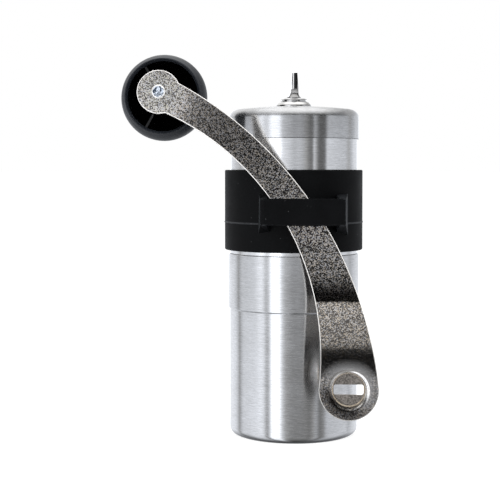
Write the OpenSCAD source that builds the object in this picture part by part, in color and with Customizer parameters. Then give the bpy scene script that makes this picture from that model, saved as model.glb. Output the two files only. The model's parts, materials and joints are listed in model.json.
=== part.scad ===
// Hand crank coffee grinder with a steel body, a catch cup and a crank arm stowed in a rubber loop.
// Millimetres. +Z is up, the origin is on the grinder's axis where the catch cup stands,
// and the stowed arm is on the -Y side.

/* [Steel shells] */
// Outside diameter of the body tube
body_d = 46.8; // [42:0.1:54]
// Sheet thickness of the cup, the tube and the cap
sheet = 0.5; // [0.4:0.05:0.7]
// Radial slip between shells that slide over each other
slip = 0.08; // [0.05:0.01:0.2]
// Length of the body tube
body_len = 70; // [66:0.5:90]
// Height of the shoulder where the cup widens to take the tube
cup_shoulder_h = 46.3; // [30:0.1:60]
// How far the cup's wide mouth reaches up over the tube
cup_mouth_h = 20.4; // [10:0.1:21]
// How far the cup steps in below its wide mouth
cup_step = 0.5; // [0.3:0.05:0.6]
// Outside corner radius at the foot of the cup
cup_corner_r = 2.6; // [1.5:0.1:5]
// Height of the cap's skirt and corner
cap_h = 10.9; // [8:0.1:16]
// Outside corner radius of the cap
cap_corner_r = 3.2; // [2:0.1:5]
// Rise of the cap's crown
cap_crown = 0.9; // [0.1:0.1:1.5]

/* [Cap bushing] */
// Diameter of the bushing's flange
flange_d = 13; // [12.5:0.1:18]
// Thickness of the flange
flange_h = 1.9; // [1:0.1:3]
// Depth of the bushing below the cap's top
bushing_drop = 2.2; // [1.5:0.1:4]

/* [Grip band and arm loop] */
// Wall of the rubber band
band_t = 2; // [1.5:0.1:3]
// Height of the band
band_h = 29.3; // [24:0.1:36]
// Bare steel between the cup's rim and the band
band_gap = 1.3; // [0.5:0.1:4]
// Height of the loop's centre above the band's lower edge
loop_up = 14.5; // [12:0.1:17]
// Height of the strap across the loop
strap_h = 9.4; // [7:0.1:12]
// Width of the loop over its side walls
loop_w = 29.7; // [28:0.1:34]
// Thickness of the strap
strap_t = 1.7; // [1.2:0.1:2.5]
// Thickness of the loop's side walls
loop_wall = 2; // [1.5:0.1:3]
// How far the walls' feet reach past the strap, up and down
gusset = 3; // [1:0.1:4]
// Air between the arm and the rubber, behind it and in front
arm_gap = 0.3; // [0.25:0.05:0.8]

/* [Crank arm] */
// Distance from the knob's axis to the drive slot
arm_reach = 122.8; // [110:0.2:135]
// Plate thickness of the arm
arm_t = 1.8; // [1.5:0.1:2.4]
// Radius of the arm's outer edge
outer_edge_r = 134.5; // [128:0.5:145]
// Radius of the arm's inner edge
inner_edge_r = 93; // [88:0.5:95]
// Width of the arm where it meets the head
neck_w = 11.9; // [9:0.1:13]
// Diameter of the round head under the knob
head_d = 15.4; // [14:0.1:20]
// Diameter of the round end at the drive slot
hub_d = 20.4; // [18:0.1:24]
// How far the slot's end is stepped off the plane of the arm
arm_step = 7.6; // [5:0.1:10]
// Slope of the step
step_angle = 19; // [17:1:30]
// Inside diameter of the drawn pocket around the slot
pocket_d = 11.4; // [11.2:0.1:13]
// Depth of the pocket
pocket_depth = 4; // [2.5:0.1:5]
// Clearance of the slot around the drive blade
slot_clear = 0.35; // [0.1:0.05:0.4]

/* [How the arm is stowed] */
// Turn of the arm's plane about the grinder's axis
stow_turn = 6.5; // [0:0.5:12]
// Backward lean of the arm's plane
stow_lean = 4.5; // [0:0.5:6]
// Tilt of the arm's chord from the vertical
stow_tilt = 32.9; // [26:0.1:38]
// Offset of the loop's centre to the right of the plane's middle
loop_right = 4; // [0:0.1:5]
// Offset of the arm's middle to the left of the loop's centre
arm_left = 2.4; // [0:0.1:3.5]
// Height of the arm's middle above the loop's centre
arm_rise = 0.6; // [0:0.1:3]

/* [Knob] */
// Largest diameter of the knob
knob_d = 31.4; // [27:0.1:38]
// Diameter of the knob's open mouth
mouth_d = 25.3; // [20:0.1:26]
// Depth of the knob's rim behind the arm
rim_back = 9.2; // [5:0.1:14]
// Length of the knob from its rim to the top of the dome
knob_len = 19.5; // [15:0.5:26]
// Wall of the knob
knob_wall = 2; // [1.5:0.1:2.5]
// Diameter of the knob's central boss
boss_d = 10; // [8:0.1:13]
// Diameter of the pin that the knob turns on
pin_d = 5; // [4:0.1:6]
// Diameter of the pin's riveted end
rivet_d = 4.8; // [4.4:0.1:6]
// Thickness of the ribs inside the knob
rib_t = 0.8; // [0.6:0.1:1.5]

/* [Drive shaft] */
// Diameter of the shaft
shaft_d = 6; // [5.5:0.1:7]
// Diameter of the shaft's head
head_shaft_d = 9.9; // [9:0.1:10.4]
// Length of the shaft's round head
shaft_head_h = 12.2; // [11:0.1:15]
// Thickness of the drive blade near its root
blade_t = 2.8; // [2.4:0.1:4]
// Thickness of the blade at its tip
blade_tip_t = 1.9; // [1.5:0.1:2.4]
// Width of the blade, along Y at rest
blade_w = 9.2; // [8:0.1:9.6]
// Length of the drive blade with its shoulders
blade_h = 9.4; // [8:0.1:14]
// Width over the flats that drive the burr
shaft_flats = 4.8; // [4.4:0.1:5.2]
// Diameter of the adjuster's thread
thread_d = 4.6; // [4:0.1:4.6]
// Radial clearance of turning and sliding fits
run_clear = 0.05; // [0.02:0.01:0.09]

/* [Bearings and frames] */
// Outside diameter of both bushes
bush_d = 8.4; // [8:0.1:10]
// Thickness of the bushes' flanges and of the washers
washer_t = 0.5; // [0.4:0.1:1]
// Diameter of the bearing hubs
bearing_hub_d = 13; // [12:0.1:14]
// Height of the upper frame
frame_h = 7.5; // [5:0.1:9]
// Depth of the upper frame's top below the end of the tube
frame_drop = 5.8; // [4:0.1:8]
// Wall of the frames where they grip the tube
frame_wall = 1.5; // [1.2:0.1:2.2]
// Width of the frames' spokes
spoke_w = 3; // [2:0.1:4.5]

/* [Burr set] */
// Room between the outer burr and the tube, for the housing and its screws
burr_room = 6.9; // [6.6:0.1:8]
// Height of the outer burr
burr_h = 13; // [11:0.5:16]
// Height of the burrs above the lower end of the tube
burr_up = 6.2; // [6:0.1:8]
// Thickness of the outer burr at its lower end
burr_wall = 2.4; // [2:0.1:3]
// Thickness of the inner burr round the sleeve at its upper end
burr_web = 2.4; // [2:0.1:3]
// Height of the throat above the burr's lower end
burr_throat_h = 7; // [6:0.5:9]
// Gap between the burrs, measured across
burr_gap = 0.6; // [0.5:0.05:1]
// How far the adjuster can raise the inner burr from here
burr_rise = 0.9; // [0.4:0.1:1]
// How far the adjuster can lower the inner burr from here
burr_drop = 1.6; // [0.8:0.1:2]
// Number of grinding grooves in each burr
grooves = 18; // [12:1:24]
// Diameter of the screws that hold the clamp ring
screw_d = 2.5; // [2:0.1:2.8]
// Length of the screws
screw_len = 8; // [6:0.5:9]
// Outside diameter of the burr carrier's sleeve
sleeve_d = 10; // [9:0.1:11]
// Height of the housing above the burrs
housing_rise = 14; // [13:0.5:18]
// Length of the burr spring
spring_h = 5.5; // [4.5:0.1:8]
// Wire diameter of the spring
spring_wire = 0.9; // [0.6:0.1:1.1]
// Turns of the spring
spring_turns = 4; // [3:0.5:4.5]
// Diameter of the adjuster nut
nut_d = 19; // [16:0.5:22]
// Height of the adjuster nut
nut_h = 4; // [3:0.1:5]

/* [Hidden] */
$fn = 96;
eps = 0.01;

// Shells
body_r = body_d / 2;
tube_in = body_r - sheet;
mouth_in = body_r + slip;
mouth_out = mouth_in + sheet;
cup_r = mouth_out - cup_step;
cup_rim_z = cup_shoulder_h + cup_mouth_h;
seat_z = cup_shoulder_h + sheet;
tube_top = seat_z + body_len;
cap_inner_corner = cap_corner_r - sheet;
rest_gap = 0.05;
// The tube's rim meets the inside corner of the cap a little below the ceiling
cap_ceiling = tube_top + cap_inner_corner - sqrt(slip * (2 * cap_inner_corner - slip)) + rest_gap;
cap_top = cap_ceiling + sheet;
crown_flat_r = flange_d / 2 + 1;
crown_top = cap_top + cap_crown;
bushing_bore = head_shaft_d / 2 + 2 * run_clear;
bushing_r = bushing_bore + 0.75;

// Band and the plane of the stowed arm
band_r = body_r + band_t;
band_z = cup_rim_z + band_gap;
band_top = band_z + band_h;
band_edge_r = 0.5;
ridge_up = 10.2;
ridge_proud = 0.2;
foot_in = 1.6;
foot_out = 1;
foot_sunk = 2.4;
loop_z = band_z + loop_up;
plane_dist = band_r + (band_top - loop_z) * tan(stow_lean) + arm_gap + arm_t / cos(stow_lean);

// Arm
head_r = head_d / 2;
hub_r = hub_d / 2;
arm_centre_r = (outer_edge_r + inner_edge_r) / 2;
half_span = asin(arm_reach / 2 / arm_centre_r);
knob_at = [arm_centre_r * (cos(half_span) - 1), arm_centre_r * sin(half_span)];
hub_at = [knob_at[0], -knob_at[1]];
arc_at = [-arm_centre_r, 0];
bend_r_top = 46;
crease_r = 2.5;
crease_from = 12;
crease_steps = 3;
bend_r_hub = 27;
bend_steps = 6;
neck_fillet = 1.35;
pocket_wall = 1.4;
slot_len = blade_w + 0.4 + 2 * slot_clear;
slot_w = blade_t + 2 * slot_clear;
slot_corner = 0.7;
pocket_r = max(pocket_d / 2, slot_len / 2 + 0.4);
hub_flat = pocket_r + 0.4;

// Knob, measured along its axis from the arm's front face
pin_r = pin_d / 2;
shank_r = pin_r - 0.5;
knob_r = knob_d / 2;
boss_r = boss_d / 2;
boss_start = arm_t + washer_t + 0.1;
rim_depth = arm_t + rim_back;
belly_depth = rim_depth + 5.4;
dome_depth = rim_depth + knob_len;
pin_end = dome_depth - 8;
catch_len = 1.6;
lip_r = mouth_d / 2 + 1.15;
rib_angles = [1, 121, 241];

// Frames, shaft and burrs
shaft_r = shaft_d / 2;
bush_r = bush_d / 2;
bush_flange_r = bush_r + 1.2;
hub_bearing_r = bearing_hub_d / 2;
frame_top = tube_top - frame_drop;
head_z = frame_top + washer_t;
shaft_top = head_z + shaft_head_h + blade_h;
spoke_angles = [60, 180, 300];
burr_z = seat_z + burr_up;
burr_r = tube_in - burr_room;
burr_mouth_r = burr_r - burr_wall;
burr_top = burr_z + burr_h;
housing_z = seat_z + 1.2;
housing_top = burr_top + housing_rise;
housing_wall = 1.6;
sleeve_r = sleeve_d / 2;
spring_r = sleeve_r - spring_wire / 2 - 0.1;
carrier_flange_h = 1.5;
inner_z = burr_z + 0.2;
carrier_z = inner_z - carrier_flange_h;
carrier_top = burr_top;
spring_z = carrier_top + washer_t;
lower_bush_z = spring_z + spring_h + washer_t;
lower_hub_z = lower_bush_z + washer_t;
click_t = 1;
nut_z = carrier_z - click_t - nut_h;
thread_z = nut_z - burr_drop - 0.6;
key_z = carrier_z + burr_rise + 0.3;
key_top = carrier_top + washer_t + burr_rise + 2;
inner_burr_r = burr_mouth_r - burr_gap;
inner_burr_h = burr_h - 0.8;
inner_top_r = sleeve_r + burr_web;
cone_slope = (inner_burr_r - inner_top_r) / inner_burr_h;
burr_throat_r = burr_mouth_r - cone_slope * burr_throat_h;
clamp_t = 1.5;
screw_circle = (burr_r + housing_wall + tube_in - housing_wall) / 2;
screw_r = screw_d / 2;
screw_hole_r = screw_r + run_clear;
screw_boss_r = screw_r + 1.15;

steel = [0.78, 0.78, 0.77];
dark_steel = [0.55, 0.54, 0.52];
nickel = [0.62, 0.60, 0.57];
rubber_black = [0.08, 0.08, 0.09];
plastic_black = [0.12, 0.12, 0.13];
ceramic_white = [0.93, 0.92, 0.88];
bronze = [0.72, 0.55, 0.33];

// ---------- shared shapes ----------

function arc(centre, r, from, to, steps) =
    [for (i = [0:steps]) let (a = from + (to - from) * i / steps) centre + r * [cos(a), sin(a)]];

function unit(v) = v / norm(v);

// The point at distance dp from p and dq from q, on the left of the way from p to q when side is 1
function meet(p, q, dp, dq, side) =
    let (span = norm(q - p), u = (q - p) / span, along = (dp * dp - dq * dq + span * span) / (2 * span))
    p + along * u + side * sqrt(dp * dp - along * along) * [-u[1], u[0]];

module ring(r_out, r_in, h, z = 0) {
    translate([0, 0, z])
    difference() {
        cylinder(r = r_out, h = h);
        translate([0, 0, -eps]) cylinder(r = r_in, h = h + 2 * eps);
    }
}

// Spokes from a hub of radius r_hub out to a ring of radius r_ring
module spokes(r_hub, r_ring, h, z) {
    for (a = spoke_angles)
        rotate([0, 0, a])
            translate([r_hub, -spoke_w / 2, z]) cube([r_ring - r_hub, spoke_w, h]);
}

module flanged_bush(z_flange, flange_up, h) {
    flange_z = flange_up ? z_flange : z_flange - washer_t;
    sleeve_z = flange_up ? z_flange - h : z_flange;
    difference() {
        union() {
            translate([0, 0, flange_z]) cylinder(r = bush_flange_r, h = washer_t);
            translate([0, 0, sleeve_z]) cylinder(r = bush_r, h = h);
        }
        translate([0, 0, sleeve_z - 1]) cylinder(r = shaft_r + run_clear, h = h + 2);
    }
}

module flats_section(r, across) {
    intersection() {
        circle(r = r);
        square([4 * r, across], center = true);
    }
}

// ---------- frames of reference of the stowed arm ----------

// X runs right along the loop, Y up the arm's plane and Z out of its front face
module at_loop() {
    rotate([0, 0, -stow_turn])
        translate([loop_right, -plane_dist, loop_z])
            rotate([-stow_lean, 0, 0])
                rotate([90, 0, 0])
                    children();
}

// The arm's own frame: the origin is the middle of its centreline
module at_arm() {
    at_loop()
        translate([-arm_left, arm_rise, 0])
            rotate([0, 0, stow_tilt])
                children();
}

module at_knob() {
    at_arm() translate([knob_at[0], knob_at[1], 0]) rotate([0, 0, -stow_tilt]) children();
}

module at_hub() {
    translate([hub_at[0], hub_at[1], 0]) rotate([0, 0, -half_span]) children();
}

// ---------- steel shells ----------

module catch_cup() {
    inner_corner = cup_corner_r - sheet;
    foot_r = cup_r - cup_corner_r;
    color(steel)
    rotate_extrude()
    polygon(concat(
        [[0, 0]],
        arc([foot_r, cup_corner_r], cup_corner_r, -90, 0, 10),
        [[cup_r, cup_shoulder_h], [mouth_out, seat_z], [mouth_out, cup_rim_z - 0.15],
         [mouth_out - 0.15, cup_rim_z], [mouth_in + 0.1, cup_rim_z], [mouth_in, cup_rim_z - 0.1],
         [mouth_in, seat_z], [cup_r - sheet, seat_z]],
        arc([foot_r, cup_corner_r], inner_corner, 0, -90, 10),
        [[0, sheet]]));
}

module body_tube() {
    color(steel) ring(body_r, tube_in, body_len, seat_z);
}

module cap_shell() {
    corner_at = [mouth_out - cap_corner_r, cap_top - cap_corner_r];
    skirt_z = cap_top - cap_h;
    crown_steps = 8;
    span = corner_at[0] - crown_flat_r;
    crown = [for (i = [0:crown_steps])
        [corner_at[0] - span * i / crown_steps, cap_crown * sin(90 * i / crown_steps)]];
    color(steel)
    rotate_extrude()
    polygon(concat(
        [[mouth_in, skirt_z], [mouth_out - 0.1, skirt_z], [mouth_out, skirt_z + 0.1]],
        arc(corner_at, cap_corner_r, 0, 90, 10),
        [for (p = crown) [p[0], cap_top + p[1]]],
        [[bushing_r, crown_top], [bushing_r, crown_top - sheet]],
        [for (i = [crown_steps:-1:0]) [crown[i][0], cap_ceiling + crown[i][1]]],
        arc(corner_at, cap_inner_corner, 90, 0, 10)));
}

module cap_bushing() {
    flange_r = flange_d / 2;
    lip_r_under = bushing_r + 0.7;
    under = crown_top - sheet;
    bottom = crown_top - bushing_drop;
    flange_top = crown_top + flange_h;
    color(dark_steel)
    rotate_extrude()
    polygon(concat(
        [[bushing_bore, bottom], [bushing_r - 0.2, bottom], [lip_r_under, under - 0.6],
         [lip_r_under, under], [bushing_r, under], [bushing_r, crown_top], [flange_r, crown_top]],
        arc([flange_r - 0.5, flange_top - 1.3], 0.5, 0, 50, 4),
        [[bushing_bore + 0.5, flange_top - 0.1], [bushing_bore + 0.3, flange_top],
         [bushing_bore, flange_top]]));
}

// ---------- rubber band with the arm's loop ----------

module loop_outer() {
    half = loop_w / 2;
    corner = 1.6;
    depth = plane_dist;
    // Rounded frame of the strap and its walls, drawn across the loop and run up it
    module section(inset) {
        front = arm_gap + strap_t - inset;
        w = half - inset;
        translate([-w, -depth]) square([2 * w, depth + front - corner]);
        translate([-w + corner, -depth]) square([2 * (w - corner), depth + front]);
        for (s = [-1, 1]) translate([s * (w - corner), front - corner]) circle(r = corner);
    }
    edge = 0.35;
    for (part = [[0, edge], [edge, 0]])
        rotate([90, 0, 0])
            linear_extrude(height = strap_h - 2 * part[1], center = true) section(part[0]);
}

// A side wall that widens from the strap to its foot on the band
module loop_side(s) {
    wall_x = s * (loop_w / 2 - loop_wall / 2);
    foot_x = wall_x - s * (foot_in - foot_out) / 2;
    foot_depth = plane_dist - sqrt(pow(band_r, 2) - pow(loop_right + s * loop_w / 2, 2));
    slab = 0.5;
    hull() {
        translate([wall_x, 0, arm_gap + strap_t - 1]) cube([loop_wall, strap_h - 0.6, slab], center = true);
        translate([foot_x, 0, -foot_depth - foot_sunk])
            cube([loop_wall + foot_in + foot_out, strap_h + 2 * gusset, slab], center = true);
    }
}

module grip_band() {
    ridge_z = band_z + ridge_up;
    tunnel_w = loop_w - 2 * loop_wall;
    color(rubber_black)
    difference() {
        union() {
            rotate_extrude()
            polygon(concat(
                [[body_r, band_z]],
                arc([band_r - band_edge_r, band_z + band_edge_r], band_edge_r, -90, 0, 4),
                [[band_r, ridge_z - 0.3], [band_r + ridge_proud, ridge_z - 0.1],
                 [band_r + ridge_proud, ridge_z + 0.1], [band_r, ridge_z + 0.3]],
                arc([band_r - band_edge_r, band_top - band_edge_r], band_edge_r, 0, 90, 4),
                [[body_r, band_top]]));
            intersection() {
                at_loop() {
                    difference() {
                        loop_outer();
                        translate([-tunnel_w / 2, -band_h, -2 * plane_dist])
                            cube([tunnel_w, 2 * band_h, 2 * plane_dist + arm_gap]);
                    }
                    for (s = [-1, 1]) loop_side(s);
                }
                front_half();
            }
        }
        translate([0, 0, band_z - 1]) cylinder(r = body_r, h = band_h + 2);
    }
}

// Everything in front of the body's axis
module front_half() {
    far = 4 * band_r;
    translate([-far / 2, -far, 0]) cube([far, far, 2 * band_top]);
}

// ---------- frames, shaft and bearings ----------

module upper_frame() {
    color(plastic_black)
    difference() {
        union() {
            ring(tube_in, tube_in - frame_wall, frame_h, frame_top - frame_h);
            translate([0, 0, frame_top - frame_h]) cylinder(r = hub_bearing_r, h = frame_h);
            spokes(bush_r + 1, tube_in - frame_wall / 2, frame_h - 1.5, frame_top - frame_h);
        }
        translate([0, 0, frame_top - frame_h - 1]) cylinder(r = bush_r, h = frame_h + 2);
    }
}

module upper_bush() {
    color(bronze) flanged_bush(frame_top, true, frame_h);
}

module drive_shaft() {
    head_r = head_shaft_d / 2;
    head_top = head_z + shaft_head_h;
    groove_z = crown_top + flange_h + 0.2;
    groove_top = groove_z + 0.6;
    groove_r = head_r - 0.5;
    root_r = shaft_r - 0.25;
    root_z = head_top - 0.6;
    dome_r = root_r + 0.1;
    dome_h = head_top - groove_top;
    half = blade_t / 2;
    tip_half = blade_tip_t / 2;
    wide_r = blade_w / 2;
    color(steel) {
        translate([0, 0, thread_z]) cylinder(r1 = thread_d / 2 - 0.4, r2 = thread_d / 2, h = 0.4);
        translate([0, 0, thread_z + 0.4]) cylinder(r = thread_d / 2, h = key_z - thread_z - 0.4);
        translate([0, 0, key_z])
            linear_extrude(height = key_top - key_z) flats_section(shaft_r, shaft_flats);
        translate([0, 0, key_top]) cylinder(r = shaft_r, h = head_z - key_top);
        // Round head with a groove and a domed shoulder
        rotate_extrude()
        polygon(concat(
            [[0, head_z], [head_r, head_z], [head_r, groove_z], [groove_r, groove_z],
             [groove_r, groove_top]],
            [for (i = [0:6])
                [dome_r + (head_r - dome_r) * cos(15 * i), groove_top + dome_h * sin(15 * i)]],
            [[0, head_top]]));
        // The bar's end, pressed flat: round at its root, then wider along Y and thinner along X
        intersection() {
            rotate([90, 0, 0])
            linear_extrude(height = head_shaft_d, center = true)
            polygon([[-root_r, root_z], [root_r, root_z], [root_r, head_top + 0.1],
                [half + 0.55, head_top + 0.5], [half + 0.15, head_top + 1.2], [half, head_top + 2.2],
                [tip_half, shaft_top - 0.3], [tip_half - 0.3, shaft_top],
                [-tip_half + 0.3, shaft_top], [-tip_half, shaft_top - 0.3], [-half, head_top + 2.2],
                [-half - 0.15, head_top + 1.2], [-half - 0.55, head_top + 0.5], [-root_r, head_top + 0.1]]);
            rotate_extrude()
            polygon([[0, root_z], [root_r, root_z], [root_r, head_top + 0.2], [wide_r - 0.5, head_top + 2],
                [wide_r, head_top + 3.2], [wide_r, shaft_top - 0.4], [wide_r - 0.4, shaft_top],
                [0, shaft_top]]);
        }
    }
}

module burr_housing() {
    lip_in = burr_r - 1.4;
    funnel_low = burr_top + 1.5;
    funnel_top = housing_top - 4;
    funnel_in = tube_in - frame_wall;
    pocket_in = burr_r + housing_wall;
    pocket_out = tube_in - housing_wall;
    color(plastic_black)
    difference() {
        union() {
            rotate_extrude()
            polygon([[tube_in, housing_z], [tube_in, housing_top], [funnel_in, housing_top],
                [funnel_in, funnel_top], [lip_in, funnel_low], [lip_in, burr_top], [burr_r, burr_top],
                [burr_r, burr_z], [pocket_in, burr_z], [pocket_in, burr_top + 2.5],
                [pocket_out, funnel_top - 3], [pocket_out, housing_z]]);
            for (a = spoke_angles)
                rotate([0, 0, a])
                    translate([screw_circle, 0, burr_z]) cylinder(r = screw_boss_r, h = burr_h);
            translate([0, 0, lower_hub_z]) cylinder(r = hub_bearing_r, h = housing_top - lower_hub_z);
            spokes(bush_r + 1, tube_in - frame_wall / 2, 5, housing_top - 5);
        }
        for (a = spoke_angles)
            rotate([0, 0, a])
                translate([screw_circle, 0, burr_z - 1]) cylinder(r = screw_hole_r, h = screw_len + 1);
        translate([0, 0, lower_hub_z - 1]) cylinder(r = bush_r, h = housing_top);
    }
}

module lower_bush() {
    color(bronze) flanged_bush(lower_hub_z, false, housing_top - lower_hub_z);
}

module thrust_washer(z) {
    color(steel) ring(bush_flange_r, shaft_r + run_clear, washer_t, z);
}

module upper_thrust_washer() thrust_washer(spring_z + spring_h);
module lower_thrust_washer() thrust_washer(carrier_top);

// Coil with its end turns laid flat, as rings of eight points along the wire
module burr_spring() {
    sides = 8;
    per_turn = 18;
    wire_r = spring_wire / 2;
    rings = round(spring_turns * per_turn);
    pitch_h = spring_h - spring_wire;
    flat_turns = 0.75;
    function climb(turn) = min(max((turn - flat_turns) / (spring_turns - 2 * flat_turns), 0), 1);
    points = [for (i = [0:rings]) let (turn = i / per_turn, a = 360 * turn)
        for (j = [0:sides - 1]) let (b = 360 * j / sides, r = spring_r + wire_r * cos(b))
            [r * cos(a), r * sin(a), spring_z + wire_r + pitch_h * climb(turn) + wire_r * sin(b)]];
    walls = [for (i = [0:rings - 1]) for (j = [0:sides - 1]) let (k = (j + 1) % sides)
        each [[i * sides + j, (i + 1) * sides + j, (i + 1) * sides + k],
              [i * sides + j, (i + 1) * sides + k, i * sides + k]]];
    ends = [[for (j = [0:sides - 1]) j], [for (j = [sides - 1:-1:0]) rings * sides + j]];
    color(steel) polyhedron(points, concat(walls, ends));
}

// ---------- burrs ----------

module outer_burr() {
    lip_in = burr_r - 1.4;
    groove_tilt = atan(cone_slope);
    mid_r = (burr_mouth_r + burr_throat_r) / 2;
    color(ceramic_white)
    difference() {
        rotate_extrude()
        polygon([[burr_mouth_r, burr_z], [burr_r, burr_z], [burr_r, burr_top], [lip_in, burr_top],
            [burr_throat_r, burr_z + burr_throat_h]]);
        for (i = [0:grooves - 1])
            rotate([0, 0, 360 * i / grooves])
                translate([mid_r, 0, burr_z + burr_throat_h / 2])
                    rotate([25, -groove_tilt, 0])
                        cube([1.2, 0.9, 2.4 * burr_throat_h], center = true);
    }
}

module inner_burr() {
    mid_h = inner_burr_h * 0.4;
    mid_r = inner_burr_r - cone_slope * mid_h;
    flutes = 4;
    color(ceramic_white)
    difference() {
        translate([0, 0, inner_z]) cylinder(r1 = inner_burr_r, r2 = inner_top_r, h = inner_burr_h);
        for (i = [0:grooves - 1])
            rotate([0, 0, 360 * i / grooves])
                translate([mid_r, 0, inner_z + mid_h])
                    rotate([-25, -atan(cone_slope), 0])
                        cube([1, 0.9, 1.4 * inner_burr_h], center = true);
        for (i = [0:flutes - 1])
            rotate([0, 0, 360 * i / flutes])
                translate([inner_top_r + 1.6, 0, inner_z + inner_burr_h])
                    rotate([-30, -atan(cone_slope), 0])
                        cube([2.4, 2.6, inner_burr_h], center = true);
        translate([0, 0, inner_z - 1]) cylinder(r = sleeve_r, h = inner_burr_h + 2);
    }
}

module burr_carrier() {
    color(plastic_black)
    difference() {
        union() {
            translate([0, 0, carrier_z]) cylinder(r = sleeve_r + 3, h = carrier_flange_h);
            translate([0, 0, carrier_z]) cylinder(r = sleeve_r, h = carrier_top - carrier_z);
        }
        translate([0, 0, carrier_z - 1])
            linear_extrude(height = carrier_top - carrier_z + 2)
                flats_section(shaft_r + run_clear, shaft_flats + 2 * run_clear);
    }
}

module click_plate() {
    detents = 12;
    plate_r = sleeve_r + 3;
    color(steel)
    difference() {
        ring(plate_r, thread_d / 2 + run_clear, click_t, carrier_z - click_t);
        for (i = [0:detents - 1])
            rotate([0, 0, 360 * i / detents])
                translate([plate_r, 0, carrier_z - click_t - 1]) cylinder(r = 0.7, h = click_t + 2);
    }
}

module adjuster_nut() {
    nut_r = nut_d / 2;
    lobes = 12;
    color(dark_steel)
    difference() {
        translate([0, 0, nut_z]) cylinder(r = nut_r, h = nut_h);
        for (i = [0:lobes - 1])
            rotate([0, 0, 360 * (i + 0.5) / lobes])
                translate([nut_r + 0.6, 0, nut_z - 1]) cylinder(r = 1.6, h = nut_h + 2);
        translate([0, 0, nut_z - 1]) cylinder(r = thread_d / 2 + run_clear, h = nut_h + 2);
        translate([0, 0, nut_z - 1]) cylinder(r = nut_r - 4.5, h = 1.8);
    }
}

module burr_clamp_ring() {
    color(steel)
    difference() {
        ring(tube_in - housing_wall - 0.1, burr_mouth_r + 0.6, clamp_t, burr_z - clamp_t);
        for (a = spoke_angles)
            rotate([0, 0, a])
                translate([screw_circle, 0, burr_z - clamp_t - 1])
                    cylinder(r = screw_hole_r, h = clamp_t + 2);
    }
}

module clamp_screws() {
    pan_r = burr_room / 2 - housing_wall - 0.1;
    pan_h = 1.4;
    color(steel)
    for (a = spoke_angles)
        rotate([0, 0, a])
            translate([screw_circle, 0, burr_z - clamp_t])
                difference() {
                    union() {
                        translate([0, 0, -pan_h]) cylinder(r = pan_r, h = pan_h);
                        cylinder(r = screw_r, h = screw_len);
                    }
                    for (t = [0, 90])
                        rotate([0, 0, t]) translate([0, 0, -pan_h]) cube([2.4, 0.6, 1.4], center = true);
                }
}

// ---------- crank arm ----------

// The rounded corner between the head and an edge arc of the strip
module neck_corner(edge_at, edge_r, outside) {
    side = outside ? 1 : -1;
    f_at = meet(knob_at, edge_at, head_r + neck_fillet, edge_r + side * neck_fillet, outside ? -1 : 1);
    on_head = knob_at + head_r * unit(f_at - knob_at);
    on_edge = edge_at + edge_r * unit(f_at - edge_at);
    difference() {
        polygon([knob_at, on_head, f_at, on_edge]);
        translate(f_at) circle(r = neck_fillet);
    }
}

module arm_outline() {
    outer_at = meet(knob_at, hub_at, outer_edge_r - neck_w / 2, outer_edge_r - hub_r, -1);
    inner_at = meet(knob_at, hub_at, inner_edge_r + neck_w / 2, inner_edge_r + hub_r, -1);
    far = 2 * outer_edge_r;
    translate(knob_at) circle(r = head_r);
    translate(hub_at) circle(r = hub_r);
    difference() {
        intersection() {
            translate(outer_at) circle(r = outer_edge_r, $fn = 360);
            polygon([arc_at, arc_at + far * unit(hub_at - arc_at), arc_at + [far, 0],
                arc_at + far * unit(knob_at - arc_at)]);
        }
        translate(inner_at) circle(r = inner_edge_r, $fn = 360);
    }
    neck_corner(outer_at, outer_edge_r, true);
    neck_corner(inner_at, inner_edge_r, false);
}

// Side view of the plate: [distance from the hub, height of the middle of the sheet, slope].
// Below the straight part come a gentle bend, a crease, the step's slope and the bend to the hub
function plate_path() =
    let (mid = -arm_t / 2,
         crease_h = bend_r_top * (1 - cos(crease_from)),
         slope_h = crease_h + crease_r * (cos(crease_from) - cos(step_angle)),
         hub_turn_h = bend_r_hub * (1 - cos(step_angle)),
         run = (arm_step - slope_h - hub_turn_h) / sin(step_angle),
         hub_turn = hub_flat + bend_r_hub * sin(step_angle),
         crease = hub_turn + run * cos(step_angle) + crease_r * (sin(step_angle) - sin(crease_from)),
         start = crease + bend_r_top * sin(crease_from))
    concat(
        [[2 * arm_reach, mid, 0]],
        [for (i = [0:bend_steps]) let (a = crease_from * i / bend_steps)
            [start - bend_r_top * sin(a), mid + bend_r_top * (1 - cos(a)), a]],
        [for (i = [1:crease_steps]) let (a = crease_from + (step_angle - crease_from) * i / crease_steps)
            [crease - crease_r * (sin(a) - sin(crease_from)),
             mid + crease_h + crease_r * (cos(crease_from) - cos(a)), a]],
        [for (i = [0:bend_steps]) let (a = step_angle * (1 - i / bend_steps))
            [hub_flat + bend_r_hub * sin(a), arm_step + mid - bend_r_hub * (1 - cos(a)), a]],
        [[-hub_r - 2, arm_step + mid, 0]]);

module plate_profile() {
    path = plate_path();
    last = len(path) - 1;
    front = [for (p = path) [p[0] + arm_t / 2 * sin(p[2]), p[1] + arm_t / 2 * cos(p[2])]];
    back = [for (i = [last:-1:0]) let (p = path[i])
        [p[0] - arm_t / 2 * sin(p[2]), p[1] - arm_t / 2 * cos(p[2])]];
    polygon(concat(front, back));
}

module slot_hole(len, w, corner) {
    square([len - 2 * corner, w], center = true);
    square([len, w - 2 * corner], center = true);
    for (sx = [-1, 1]) for (sy = [-1, 1])
        translate([sx * (len / 2 - corner), sy * (w / 2 - corner)]) circle(r = corner, $fn = 24);
}

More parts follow.
